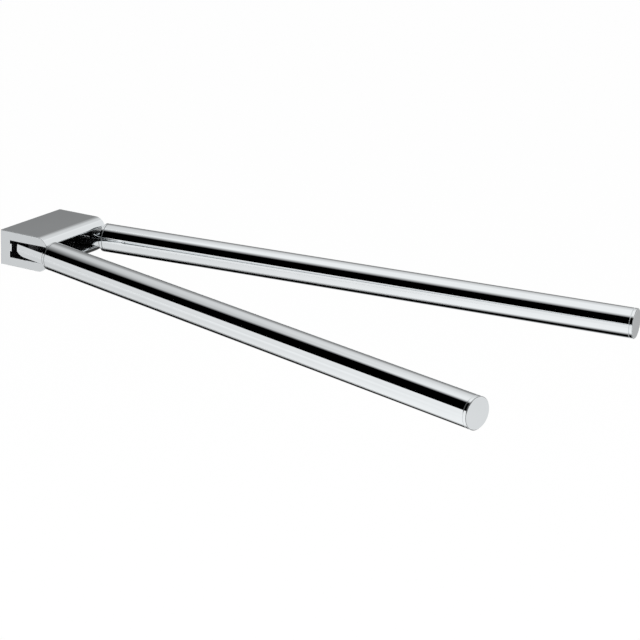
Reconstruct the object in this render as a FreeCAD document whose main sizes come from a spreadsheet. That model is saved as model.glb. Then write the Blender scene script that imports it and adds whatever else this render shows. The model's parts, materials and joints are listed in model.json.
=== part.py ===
# Twin-arm swivel towel holder: a chromed wall bracket that carries two round arms on upright pivots.
#
# Frame, in millimetres: X runs along the wall, the wall's face is Y = 0, and Z is up. The arms reach out
# along -Y with their axes in the plane Z = 0. The left arm is the one on the -X side. Each piece of an arm
# is drawn with its pivot at the origin and the arm pointing straight along -Y, then swung and set in place.

import FreeCAD
import Part
import Sketcher

import os
import re

# Driving sizes: lengths in millimetres, angles in degrees. An arm's swing is outward from straight.
SIZES = {
    # Bracket: a channel with rounded front lips
    "bracket_width": 72.0,
    "bracket_depth": 41.3,
    "flange_thickness": 6.55,
    "slot_height": 12.4,
    "back_wall": 8.2,
    "lip_radius": 8.3,
    "lip_nose_radius": 1.0,
    "end_edge_radius": 0.4,
    # Stop rib along the channel's back wall
    "rib_height": 5.8,
    "rib_depth": 1.5,
    "rib_rise": 1.0,
    # Wall plate and the recess that hides it
    "plate_thickness": 5.0,
    "plate_gap": 0.2,
    "recess_end_rim": 6.0,
    "recess_long_rim": 3.75,
    "screw_hole_dia": 4.6,
    "screw_sink_dia": 9.0,
    "screw_sink_angle": 90.0,
    "screw_hole_inset": 9.8,
    # Grub screws that lock the bracket to the plate
    "clamp_dia": 4.0,
    "clamp_socket": 2.0,
    "clamp_socket_depth": 2.0,
    "clamp_sink": 0.3,
    "clamp_inset": 5.0,
    # Pivots
    "pivot_inset": 8.0,
    "pivot_depth": 27.0,
    "pin_dia": 8.0,
    "pin_seat": 4.0,
    "pin_chamfer": 0.6,
    "pin_head_dia": 11.0,
    "pin_head_height": 3.0,
    "pin_head_sink": 0.2,
    "pin_socket": 5.0,
    "pin_socket_depth": 2.2,
    # Friction washers and bushes
    "spring_thickness": 0.8,
    "spring_cone": 0.5,
    "bush_wall": 1.0,
    "bush_flange_width": 1.5,
    "bush_flange_thickness": 1.9,
    "bush_split": 0.4,
    # Arms
    "arm_dia": 21.0,
    "arm_reach": 450.0,
    "tube_wall": 1.2,
    "seam_chamfer": 0.3,
    "shoulder_gap": 4.7,
    "collar_length": 2.3,
    "heel_gap": 0.3,
    "tail_flat": 2.0,
    "tail_cut": 6.8,
    "tail_rise": 3.0,
    "stud_dia": 10.0,
    "stud_length": 16.0,
    "insert_length": 20.0,
    # End caps
    "cap_thickness": 2.5,
    "cap_bevel": 0.5,
    "spigot_length": 8.0,
    "spigot_gap": 0.2,
    "ring_cord": 2.0,
    "ring_groove_width": 2.4,
    "ring_groove_inset": 2.4,
    # Clearances
    "fixed_fit": 0.03,
    "running_fit": 0.05,
    "face_gap": 0.1,
    "head_gap": 0.2,
    "spring_gap": 0.2,
    # Pose in which the arms are shown
    "left_swing": 16.0,
    "right_swing": 6.0,
}

# Sizes that follow from the driving ones, as expressions in their names.
HALF_SLOT = "(slot_height / 2)"
HALF_HEIGHT = f"({HALF_SLOT} + flange_thickness)"
HALF_WIDTH = "(bracket_width / 2)"
RIB_LOW = "(rib_rise - rib_height / 2)"
RIB_HIGH = "(rib_rise + rib_height / 2)"
RIB_FACE = "(back_wall + rib_depth)"
RECESS_HALF_WIDTH = f"({HALF_WIDTH} - recess_end_rim)"
RECESS_HALF_HEIGHT = f"({HALF_HEIGHT} - recess_long_rim)"
RECESS_DEPTH = "(plate_thickness + plate_gap)"
PLATE_HALF_WIDTH = f"({RECESS_HALF_WIDTH} - plate_gap)"
PLATE_HALF_HEIGHT = f"({RECESS_HALF_HEIGHT} - plate_gap)"
SCREW_X = f"({PLATE_HALF_WIDTH} - screw_hole_inset)"
CLAMP_X = f"({PLATE_HALF_WIDTH} - clamp_inset)"
CLAMP_Y = "(-plate_thickness / 2)"
CLAMP_FOOT = f"(-{HALF_HEIGHT} + clamp_sink)"
CLAMP_LENGTH = f"({HALF_HEIGHT} - {PLATE_HALF_HEIGHT} - clamp_sink)"
PIVOT_X = f"({HALF_WIDTH} - pivot_inset)"
PIN_RADIUS = "(pin_dia / 2)"
PIN_FOOT = f"(-{HALF_HEIGHT} + pin_head_sink)"
PIN_TOP = f"({HALF_SLOT} + pin_seat)"
BUSH_BORE = f"({PIN_RADIUS} + running_fit)"
BUSH_RADIUS = f"({BUSH_BORE} + bush_wall)"
BUSH_FLANGE_RADIUS = f"({BUSH_RADIUS} + bush_flange_width)"
SPRING_HEIGHT = "(spring_thickness + spring_cone)"
HALF_TONGUE = f"({HALF_SLOT} - face_gap - bush_flange_thickness)"
ARM_RADIUS = "(arm_dia / 2)"
TUBE_BORE = f"({ARM_RADIUS} - tube_wall)"
HEEL = f"(pivot_depth - {RIB_FACE} - heel_gap)"
SHOULDER = "(bracket_depth - pivot_depth + shoulder_gap)"
TUBE_START = f"({SHOULDER} + collar_length)"
ARM_TIP = "(arm_reach - pivot_depth)"
TUBE_END = f"({ARM_TIP} - cap_thickness)"
STUD_RADIUS = "(stud_dia / 2)"
SPIGOT_RADIUS = f"({TUBE_BORE} - spigot_gap)"
SPIGOT_END = f"({TUBE_END} - spigot_length)"
GROOVE_RADIUS = f"({TUBE_BORE} - ring_cord - 2 * fixed_fit)"
GROOVE_START = f"({TUBE_END} - ring_groove_inset)"
GROOVE_END = f"({GROOVE_START} - ring_groove_width)"
RING_MIDDLE = f"({GROOVE_START} - ring_groove_width / 2)"
RING_RADIUS = f"({GROOVE_RADIUS} + fixed_fit + ring_cord / 2)"

# Side of each arm: the sign of its X and the turn that swings it outward.
SIDES = {"left": -1, "right": 1}

# A whole turn, in degrees.
FULL_TURN = 360

# Two lengths or volumes this close count as equal.
NEAR = 1e-4

doc = FreeCAD.newDocument("TowelHolder")
sheet = doc.addObject("Spreadsheet::Sheet", "Sizes")
for row, (alias, size) in enumerate(SIZES.items(), start=1):
    sheet.set(f"A{row}", alias)
    sheet.set(f"B{row}", str(size))
    sheet.setAlias(f"B{row}", alias)
doc.recompute()


def linked(term):
    """Expression that reads each named size from the sheet."""
    names = "|".join(SIZES)
    return re.sub(rf"\b({names})\b", r"Sizes.\1", term)


def value(term):
    """Present value of a size expression."""
    return float(sheet.evalExpression(linked(term)))


def bind(item, path, term):
    """Tie one property of an object to a size expression."""
    item.setExpression(path, linked(term))


def new_body(label):
    """Empty body whose label is the piece's name."""
    body = doc.addObject("PartDesign::Body", label)
    body.Label = label
    return body


def attach(item, body, plane, level="0"):
    """Set a sketch or solid on one of its body's own planes, raised by a level."""
    datum = next(f for f in body.Origin.OriginFeatures if f.Role == plane)
    item.AttachmentSupport = (datum, [""])
    item.MapMode = "FlatFace"
    bind(item, "AttachmentOffset.Base.z", level)


def fix_point(sketch, geometry, vertex, x, y):
    """Hold a sketch point at a pair of size expressions."""
    for kind, term in (("DistanceX", x), ("DistanceY", y)):
        rule = Sketcher.Constraint(kind, -1, 1, geometry, vertex, value(term))
        number = sketch.addConstraint(rule)
        bind(sketch, f"Constraints[{number}]", term)


def outline(body, name, plane, corners, level="0"):
    """Closed straight-sided sketch through corners given as size expressions."""
    sketch = body.newObject("Sketcher::SketchObject", name)
    attach(sketch, body, plane, level)
    points = [FreeCAD.Vector(value(x), value(y), 0) for x, y in corners]
    for start, end in zip(points, points[1:] + points[:1]):
        sketch.addGeometry(Part.LineSegment(start, end), False)
    for index, (x, y) in enumerate(corners):
        following = (index + 1) % len(corners)
        sketch.addConstraint(Sketcher.Constraint("Coincident", index, 2, following, 1))
        fix_point(sketch, index, 1, x, y)
    return sketch


def rectangle(body, name, plane, low, high, level="0"):
    """Rectangular sketch between two opposite corners."""
    (x0, y0), (x1, y1) = low, high
    return outline(body, name, plane, [(x0, y0), (x1, y0), (x1, y1), (x0, y1)], level)


def circles(body, name, plane, centres, radius, level="0"):
    """Sketch of equal circles."""
    sketch = body.newObject("Sketcher::SketchObject", name)
    attach(sketch, body, plane, level)
    up = FreeCAD.Vector(0, 0, 1)
    for x, y in centres:
        centre = FreeCAD.Vector(value(x), value(y), 0)
        index = sketch.addGeometry(Part.Circle(centre, up, value(radius)), False)
        fix_point(sketch, index, 3, x, y)
        number = sketch.addConstraint(Sketcher.Constraint("Radius", index, value(radius)))
        bind(sketch, f"Constraints[{number}]", radius)
    return sketch


def feature(body, kind, name, sketch, length=None, side="One side", reverse=False):
    """Pad or pocket of a sketch; with no length a pocket goes right through."""
    item = body.newObject(f"PartDesign::{kind}", name)
    item.Profile = sketch
    item.SideType = side
    item.Reversed = reverse
    if length is None:
        item.Type = "ThroughAll"
    else:
        bind(item, "Length", length)
    doc.recompute()
    return item


def turned(body, kind, name, sketch):
    """Whole turn of a sketch round its own upright axis, added or cut away."""
    item = body.newObject(f"PartDesign::{kind}", name)
    item.Profile = sketch
    item.ReferenceAxis = (sketch, ["V_Axis"])
    item.Angle = FULL_TURN
    doc.recompute()
    return item


def hex_socket(body, name, across_flats, depth, level):
    """Hexagon socket sunk upward from a level."""
    socket = body.newObject("PartDesign::SubtractivePrism", name)
    socket.Polygon = 6
    bind(socket, "Circumradius", f"{across_flats} / sqrt(3)")
    bind(socket, "Height", depth)
    attach(socket, body, "XY_Plane", level)
    doc.recompute()
    return socket


def round_edges(body, name, base, radius, test):
    """Round every edge of the base feature that passes a test."""
    rounding = body.newObject("PartDesign::Fillet", name)
    names = [f"Edge{n}" for n, edge in enumerate(base.Shape.Edges, start=1) if test(edge)]
    rounding.Base = (base, names)
    bind(rounding, "Radius", radius)
    doc.recompute()
    return rounding


def same(measure, term):
    """Whether a measured coordinate equals a size expression."""
    return abs(measure - value(term)) < NEAR


def flat_at(edge, axis, term):
    """Whether an edge lies wholly at one coordinate."""
    box = edge.BoundBox
    low = getattr(box, f"{axis}Min")
    high = getattr(box, f"{axis}Max")
    return same(low, term) and same(high, term)


def set_on_pivot(body, sign):
    """Move a piece that was drawn round the origin to its pivot."""
    bind(body, "Placement.Base.x", f"{sign} * {PIVOT_X}")
    bind(body, "Placement.Base.y", "-pivot_depth")


def set_on_arm(body, side):
    """Move a piece of an arm to its pivot and swing it outward."""
    sign = SIDES[side]
    outward = FreeCAD.Rotation(FreeCAD.Vector(0, 0, sign), value(f"{side}_swing"))
    body.Placement = FreeCAD.Placement(FreeCAD.Vector(), outward)
    bind(body, "Placement.Rotation.Angle", f"{side}_swing")
    set_on_pivot(body, sign)


def mirrored_pair(x, y):
    """Two places either side of the middle."""
    return [(f"-{x}", y), (x, y)]


def bracket_body():
    """Channel with rounded lips, stop rib, plate recess and the holes for pins and grub screws."""
    body = new_body("bracket_body")
    block = rectangle(body, "block", "YZ_Plane", ("-bracket_depth", f"-{HALF_HEIGHT}"), ("0", HALF_HEIGHT))
    solid = feature(body, "Pad", "channel_block", block, "bracket_width", "Symmetric")
    round_edges(body, "lips", solid, "lip_radius", lambda edge: flat_at(edge, "Y", "-bracket_depth")
                and edge.BoundBox.XLength > NEAR)
    mouth = "-(bracket_depth + lip_radius)"
    slot = outline(body, "slot", "YZ_Plane", [
        (mouth, f"-{HALF_SLOT}"),
        ("-back_wall", f"-{HALF_SLOT}"),
        ("-back_wall", RIB_LOW),
        (f"-{RIB_FACE}", RIB_LOW),
        (f"-{RIB_FACE}", RIB_HIGH),
        ("-back_wall", RIB_HIGH),
        ("-back_wall", HALF_SLOT),
        (mouth, HALF_SLOT)])
    channel = feature(body, "Pocket", "channel_slot", slot, None, "Symmetric")
    noses = round_edges(body, "lip_noses", channel, "lip_nose_radius", is_lip_nose)
    round_edges(body, "end_edges", noses, "end_edge_radius",
                lambda edge: flat_at(edge, "X", HALF_WIDTH) or flat_at(edge, "X", f"-{HALF_WIDTH}"))
    recess = rectangle(body, "recess", "XZ_Plane", (f"-{RECESS_HALF_WIDTH}", f"-{RECESS_HALF_HEIGHT}"),
                       (RECESS_HALF_WIDTH, RECESS_HALF_HEIGHT))
    feature(body, "Pocket", "plate_recess", recess, RECESS_DEPTH, reverse=True)
    pivots = mirrored_pair(PIVOT_X, "-pivot_depth")
    bore = f"{PIN_RADIUS} + fixed_fit"
    seats = circles(body, "pin_seats", "XY_Plane", pivots, bore)
    feature(body, "Pocket", "pin_seat_bores", seats, f"{PIN_TOP} + face_gap", reverse=True)
    passages = circles(body, "pin_passages", "XY_Plane", pivots, bore)
    feature(body, "Pocket", "pin_passage_bores", passages)
    heads = circles(body, "pin_heads", "XY_Plane", pivots, "pin_head_dia / 2 + head_gap", f"-{HALF_HEIGHT}")
    feature(body, "Pocket", "pin_head_bores", heads, "pin_head_height + pin_head_sink", reverse=True)
    springs = circles(body, "springs", "XY_Plane", pivots, f"{BUSH_FLANGE_RADIUS} + spring_gap", f"-{HALF_SLOT}")
    feature(body, "Pocket", "spring_seats", springs, SPRING_HEIGHT)
    clamps = circles(body, "clamps", "XY_Plane", mirrored_pair(CLAMP_X, CLAMP_Y),
                     "clamp_dia / 2 + fixed_fit", f"-{HALF_HEIGHT}")
    feature(body, "Pocket", "clamp_bores", clamps, "recess_long_rim", reverse=True)
    return body


def is_lip_nose(edge):
    """Whether an edge is the sharp one along a lip, where its round front meets the slot."""
    box = edge.BoundBox
    along = box.XLength > value("bracket_width") - NEAR
    on_slot = same(abs(box.ZMin), HALF_SLOT) and same(abs(box.ZMax), HALF_SLOT)
    return along and on_slot and box.YMax < value("-pivot_depth")


def wall_plate():
    """Steel plate with two countersunk holes for wall screws."""
    body = new_body("wall_plate")
    face = rectangle(body, "plate", "XZ_Plane", (f"-{PLATE_HALF_WIDTH}", f"-{PLATE_HALF_HEIGHT}"),
                     (PLATE_HALF_WIDTH, PLATE_HALF_HEIGHT))
    feature(body, "Pad", "plate_slab", face, "plate_thickness")
    places = circles(body, "screw_places", "XZ_Plane", mirrored_pair(SCREW_X, "0"), "screw_hole_dia / 2",
                     "plate_thickness")
    doc.recompute()
    holes = body.newObject("PartDesign::Hole", "screw_holes")
    holes.Profile = places
    holes.DepthType = "ThroughAll"
    holes.HoleCutType = "Countersink"
    holes.HoleCutCustomValues = True
    bind(holes, "Diameter", "screw_hole_dia")
    bind(holes, "HoleCutDiameter", "screw_sink_dia")
    bind(holes, "HoleCutCountersinkAngle", "screw_sink_angle")
    doc.recompute()
    return body


def clamp_screws():
    """Two grub screws that bear upward on the plate's lower edge."""
    screws = []
    for side, sign in SIDES.items():
        shank = doc.addObject("Part::Cylinder", f"{side}_clamp_shank")
        bind(shank, "Radius", "clamp_dia / 2")
        bind(shank, "Height", CLAMP_LENGTH)
        socket = doc.addObject("Part::Prism", f"{side}_clamp_socket")
        socket.Polygon = 6
        bind(socket, "Circumradius", "clamp_socket / sqrt(3)")
        bind(socket, "Height", "clamp_socket_depth")
        for piece in (shank, socket):
            bind(piece, "Placement.Base.x", f"{sign} * {CLAMP_X}")
            bind(piece, "Placement.Base.y", CLAMP_Y)
            bind(piece, "Placement.Base.z", CLAMP_FOOT)
        screw = doc.addObject("Part::Cut", f"{side}_clamp_screw")
        screw.Base = shank
        screw.Tool = socket
        screws.append(screw)
    group = doc.addObject("Part::Compound", "clamp_screws")
    group.Label = "clamp_screws"
    group.Links = screws
    doc.recompute()
    return group


def pivot_pin(side):
    """Headed pin put in from below, with a hexagon socket and a chamfered nose."""
    body = new_body(f"{side}_pivot_pin")
    head_top = f"({PIN_FOOT} + pin_head_height)"
    head_radius = "(pin_head_dia / 2)"
    profile = outline(body, "pin_profile", "XZ_Plane", [
        ("0", PIN_FOOT),
        (f"{head_radius} - pin_chamfer", PIN_FOOT),
        (head_radius, f"{PIN_FOOT} + pin_chamfer"),
        (head_radius, head_top),
        (PIN_RADIUS, head_top),
        (PIN_RADIUS, f"{PIN_TOP} - pin_chamfer"),
        (f"{PIN_RADIUS} - pin_chamfer", PIN_TOP),
        ("0", PIN_TOP)])
    turned(body, "Revolution", "pin_blank", profile)
    hex_socket(body, "pin_socket", "pin_socket", "pin_socket_depth", PIN_FOOT)
    set_on_pivot(body, SIDES[side])
    return body


def disc_spring(side):
    """Coned spring washer in its seat in the lower flange."""
    body = new_body(f"{side}_disc_spring")
    inner = f"({PIN_RADIUS} + spring_gap)"
    low = f"(-{HALF_SLOT} - {SPRING_HEIGHT})"
    profile = outline(body, "spring_profile", "XZ_Plane", [
        (inner, f"{low} + spring_cone"),
        (BUSH_FLANGE_RADIUS, low),
        (BUSH_FLANGE_RADIUS, f"{low} + spring_thickness"),
        (inner, f"{low} + {SPRING_HEIGHT}")])
    turned(body, "Revolution", "spring_cone", profile)
    set_on_pivot(body, SIDES[side])
    return body


def bush(side, place, sign):
    """Flanged bush in one end of the knuckle's eye, above (sign 1) or below (sign -1) the tongue's middle."""
    body = new_body(f"{side}_{place}_bush")
    seat = f"{sign} * {HALF_TONGUE}"
    top = f"{sign} * ({HALF_TONGUE} + bush_flange_thickness)"
    split = f"{sign} * bush_split / 2"
    profile = outline(body, "bush_profile", "XZ_Plane", [
        (BUSH_BORE, split),
        (BUSH_RADIUS, split),
        (BUSH_RADIUS, seat),
        (BUSH_FLANGE_RADIUS, seat),
        (BUSH_FLANGE_RADIUS, top),
        (BUSH_BORE, top)])
    turned(body, "Revolution", "bush_ring", profile)
    set_on_arm(body, side)
    return body


def knuckle(side):
    """Flat-sided tongue with the pivot eye, then the round collar and the stud that enters the tube.

    The heel is square on the inner side, as the stop. Its outer corner is cut off, to swing clear of the rib,
    and relieved below, behind the lower bush.
    """
    body = new_body(f"{side}_knuckle")
    outer = SIDES[side]
    plan = outline(body, "tongue_plan", "XY_Plane", [
        (f"{-outer} * {ARM_RADIUS}", f"-{SHOULDER}"),
        (f"{outer} * {ARM_RADIUS}", f"-{SHOULDER}"),
        (f"{outer} * {ARM_RADIUS}", f"{HEEL} - tail_cut"),
        (f"{outer} * tail_flat", HEEL),
        (f"{-outer} * {ARM_RADIUS}", HEEL)])
    feature(body, "Pad", "tongue_slab", plan, f"2 * {HALF_TONGUE}", "Symmetric")
    trim = rectangle(body, "barrel_trim", "XY_Plane", (ARM_RADIUS, f"-{SHOULDER}"),
                     ("2 * arm_dia", f"{HEEL} + arm_dia"))
    turned(body, "Groove", "barrel_sides", trim)
    relief = outline(body, "heel_relief", "YZ_Plane", [
        (BUSH_FLANGE_RADIUS, f"-{HALF_TONGUE}"),
        (f"{HEEL} - tail_cut", f"tail_rise - {HALF_TONGUE}"),
        (HEEL, f"tail_rise - {HALF_TONGUE}"),
        (HEEL, f"-{HALF_TONGUE}")], f"{outer} * ({ARM_RADIUS} + tail_flat) / 2")
    feature(body, "Pocket", "heel_relief_cut", relief, f"{ARM_RADIUS} - tail_flat", "Symmetric")
    stud_end = f"(-{TUBE_START} - stud_length)"
    profile = outline(body, "collar_profile", "XY_Plane", [
        ("0", f"-{SHOULDER}"),
        (f"{ARM_RADIUS} - seam_chamfer", f"-{SHOULDER}"),
        (ARM_RADIUS, f"-{SHOULDER} - seam_chamfer"),
        (ARM_RADIUS, f"-{TUBE_START} + seam_chamfer"),
        (f"{ARM_RADIUS} - seam_chamfer", f"-{TUBE_START}"),
        (STUD_RADIUS, f"-{TUBE_START}"),
        (STUD_RADIUS, f"{stud_end} + pin_chamfer"),
        (f"{STUD_RADIUS} - pin_chamfer", stud_end),
        ("0", stud_end)])
    turned(body, "Revolution", "collar_and_stud", profile)
    eye = circles(body, "eye", "XY_Plane", [("0", "0")], f"{BUSH_RADIUS} + fixed_fit")
    feature(body, "Pocket", "pivot_eye", eye, None, "Symmetric")
    set_on_arm(body, side)
    return body


def tube_insert(side):
    """Ring fixed in the tube's inner end, bored for the knuckle's stud."""
    body = new_body(f"{side}_tube_insert")
    bore = f"({STUD_RADIUS} + fixed_fit)"
    far = f"(-{TUBE_START} - insert_length)"
    profile = rectangle(body, "insert_profile", "XY_Plane", (bore, far),
                        (f"{TUBE_BORE} - fixed_fit", f"-{TUBE_START}"))
    turned(body, "Revolution", "insert_ring", profile)
    set_on_arm(body, side)
    return body


def arm_tube(side):
    """Round tube with a fine chamfer at each end, which shows as a seam."""
    body = new_body(f"{side}_arm_tube")
    edge = f"({ARM_RADIUS} - seam_chamfer)"
    profile = outline(body, "tube_profile", "XY_Plane", [
        (TUBE_BORE, f"-{TUBE_START}"),
        (edge, f"-{TUBE_START}"),
        (ARM_RADIUS, f"-{TUBE_START} - seam_chamfer"),
        (ARM_RADIUS, f"-{TUBE_END} + seam_chamfer"),
        (edge, f"-{TUBE_END}"),
        (TUBE_BORE, f"-{TUBE_END}")])
    turned(body, "Revolution", "tube_wall", profile)
    set_on_arm(body, side)
    return body


def end_cap(side):
    """Disc with a bevelled rim, and a spigot with a groove for the cap ring."""
    body = new_body(f"{side}_end_cap")
    profile = outline(body, "cap_profile", "XY_Plane", [
        ("0", f"-{ARM_TIP}"),
        (f"{ARM_RADIUS} - cap_bevel", f"-{ARM_TIP}"),
        (ARM_RADIUS, f"-{ARM_TIP} + cap_bevel"),
        (ARM_RADIUS, f"-{TUBE_END} - seam_chamfer"),
        (f"{ARM_RADIUS} - seam_chamfer", f"-{TUBE_END}"),
        (SPIGOT_RADIUS, f"-{TUBE_END}"),
        (SPIGOT_RADIUS, f"-{GROOVE_START}"),
        (GROOVE_RADIUS, f"-{GROOVE_START}"),
        (GROOVE_RADIUS, f"-{GROOVE_END}"),
        (SPIGOT_RADIUS, f"-{GROOVE_END}"),
        (SPIGOT_RADIUS, f"-{SPIGOT_END} - pin_chamfer"),
        (f"{SPIGOT_RADIUS} - pin_chamfer", f"-{SPIGOT_END}"),
        ("0", f"-{SPIGOT_END}")])
    turned(body, "Revolution", "cap_turning", profile)
    set_on_arm(body, side)
    return body


def cap_ring(side):
    """Rubber ring that grips the tube from the spigot's groove."""
    body = new_body(f"{side}_cap_ring")
    section = circles(body, "ring_section", "XY_Plane", [(RING_RADIUS, f"-{RING_MIDDLE}")], "ring_cord / 2")
    turned(body, "Revolution", "ring_turning", section)
    set_on_arm(body, side)
    return body


def check(pieces):
    """Stop if any object failed, a cut removed nothing or a piece isn't sound."""
    for item in doc.Objects:
        if "Invalid" in item.State or "Error" in item.State:
            raise RuntimeError(f"{item.Label} failed: {item.State}")
        cuts = ("PartDesign::Pocket", "PartDesign::Groove", "PartDesign::Hole", "PartDesign::SubtractivePrism")
        if item.TypeId in cuts and item.BaseFeature.Shape.Volume - item.Shape.Volume < NEAR:
            raise RuntimeError(f"{item.Label} cuts nothing")
    for piece in pieces:
        if piece.Shape.isNull() or not piece.Shape.isValid() or not piece.Shape.Solids:
            raise RuntimeError(f"{piece.Label} has no sound solid")


def build():
    """Make every piece, check them all and write one file for each."""
    pieces = [bracket_body(), wall_plate(), clamp_screws()]
    for side in SIDES:
        pieces += [pivot_pin(side), disc_spring(side), knuckle(side)]
        pieces += [bush(side, "upper", 1), bush(side, "lower", -1)]
        pieces += [tube_insert(side), arm_tube(side), end_cap(side), cap_ring(side)]
    doc.recompute()
    check(pieces)
    os.makedirs("parts", exist_ok=True)
    for piece in pieces:
        piece.Shape.exportStep(f"parts/{piece.Label}.step")
        box = piece.Shape.BoundBox
        print(piece.Label, len(piece.Shape.Solids), f"{piece.Shape.Volume:.1f}",
              f"{box.XMin:.2f} {box.XMax:.2f} {box.YMin:.2f} {box.YMax:.2f} {box.ZMin:.2f} {box.ZMax:.2f}")


build()
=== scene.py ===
"""Looks of a twin-arm swivel towel holder: a chromed wall bracket and two chromed arms on upright pivots.

Lengths are in metres, in the frame of the solids: X runs along the wall, the wall's face is Y = 0 and Z is
up. Each piece of an arm is drawn with its pivot at the origin and the arm along -Y, then swung into place.
"""

import json
import logging
import math
from dataclasses import dataclass
from enum import Enum
from typing import Iterable, Sequence, Union

import bmesh
import bpy
from mathutils import Matrix, Vector


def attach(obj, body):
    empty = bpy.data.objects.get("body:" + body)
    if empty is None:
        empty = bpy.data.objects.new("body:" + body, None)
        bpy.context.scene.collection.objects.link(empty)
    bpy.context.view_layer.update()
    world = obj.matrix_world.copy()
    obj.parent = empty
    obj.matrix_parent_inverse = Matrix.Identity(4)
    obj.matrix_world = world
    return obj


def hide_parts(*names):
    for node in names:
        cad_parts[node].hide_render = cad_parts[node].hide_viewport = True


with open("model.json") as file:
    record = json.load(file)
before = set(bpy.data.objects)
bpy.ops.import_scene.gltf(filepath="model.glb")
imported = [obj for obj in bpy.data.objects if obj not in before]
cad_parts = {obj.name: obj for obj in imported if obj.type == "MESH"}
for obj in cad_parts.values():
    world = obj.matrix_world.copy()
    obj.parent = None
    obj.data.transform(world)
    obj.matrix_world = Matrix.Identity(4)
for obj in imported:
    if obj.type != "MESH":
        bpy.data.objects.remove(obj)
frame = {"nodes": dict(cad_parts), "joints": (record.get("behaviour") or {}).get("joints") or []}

LOG = logging.getLogger("towel_holder")
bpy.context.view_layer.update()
MM = 0.001
WELD = 1e-6
CREASE = math.radians(28)

# Cutting tools reach past what they cut by this much.
SPARE = 1.0 * MM

# Lays an upright turned piece along -Y.
LYING = Matrix.Rotation(math.pi / 2, 4, "X")

# Sides of the rounds that show, and of small ones.
FINE = 256
SMALL = 96

Triple = tuple[float, float, float]
Colour = Triple
Point = tuple[float, float]
Feed = Union["Socket", float, int, bool, str, Sequence[float], bpy.types.ID]


class Slot(Enum):
    """Material slots of the record, for the pieces that are made here."""

    CHROME = "chrome"
    SCREW = "screw_steel"
    PIN = "pin_steel"
    SPRING = "spring_steel"
    NYLON = "nylon"
    BRASS = "insert_brass"
    RUBBER = "ring_rubber"


class Side(Enum):
    """The two arms, seen from the front of the bracket."""

    LEFT = "left"
    RIGHT = "right"

    @property
    def body(self) -> str:
        """Name of the arm's body."""
        return f"{self.value}_arm"

    @property
    def outward(self) -> int:
        """Sign of the X direction that leads away from the other arm."""
        return -1 if self is Side.LEFT else 1

    @property
    def joint(self) -> dict:
        """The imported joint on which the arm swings."""
        return next(joint for joint in frame["joints"] if joint["child"] == self.body)

    def pivot(self) -> Matrix:
        """Place of the pivot, unturned."""
        return Matrix.Translation(self.joint["pos_m"])

    def place(self) -> Matrix:
        """Place of the arm at rest: its inward limit is the straight arm.

        Returns:
            The arm's turn about its pivot, and the pivot's place.
        """
        low, high = self.joint["range_deg"]
        straight = high if self is Side.LEFT else low
        return self.pivot() @ Matrix.Rotation(math.radians(-straight), 4, "Z")

    def lathe(self) -> Matrix:
        """Place of an upright turned piece laid along the arm, its stations running outward."""
        return self.place() @ LYING


class Socket:
    """An output of a node, ready for plain arithmetic."""

    def __init__(self, graph: "Graph", output: bpy.types.NodeSocket) -> None:
        """Hold an output and the graph that it belongs to."""
        self.graph = graph
        self.output = output

    def out(self, name: str) -> "Socket":
        """Another output of the same node."""
        return Socket(self.graph, self.output.node.outputs[name])

    def math(self, operation: str, *feeds: Feed) -> "Socket":
        """Math node on this value and the given ones."""
        return self.graph.node("ShaderNodeMath", {"operation": operation}, dict(enumerate((self, *feeds))))

    def __add__(self, other: Feed) -> "Socket":
        """Sum."""
        return self.math("ADD", other)

    def __mul__(self, other: Feed) -> "Socket":
        """Product."""
        return self.math("MULTIPLY", other)

    def __sub__(self, other: Feed) -> "Socket":
        """Difference."""
        return self.math("SUBTRACT", other)

    def __rsub__(self, other: float) -> "Socket":
        """Difference from a number."""
        return self.math("MULTIPLY_ADD", -1.0, other)

    def __truediv__(self, other: Feed) -> "Socket":
        """Quotient."""
        return self.math("DIVIDE", other)

    def __mod__(self, other: Feed) -> "Socket":
        """Remainder."""
        return self.math("MODULO", other)

    def __pow__(self, other: Feed) -> "Socket":
        """Power."""
        return self.math("POWER", other)

    __radd__ = __add__
    __rmul__ = __mul__

    def ridge(self) -> "Socket":
        """Triangle wave of this value: 1 at whole numbers and 0 half way between them."""
        return (self.math("FRACT") * 2 - 1).math("ABSOLUTE")


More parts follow.
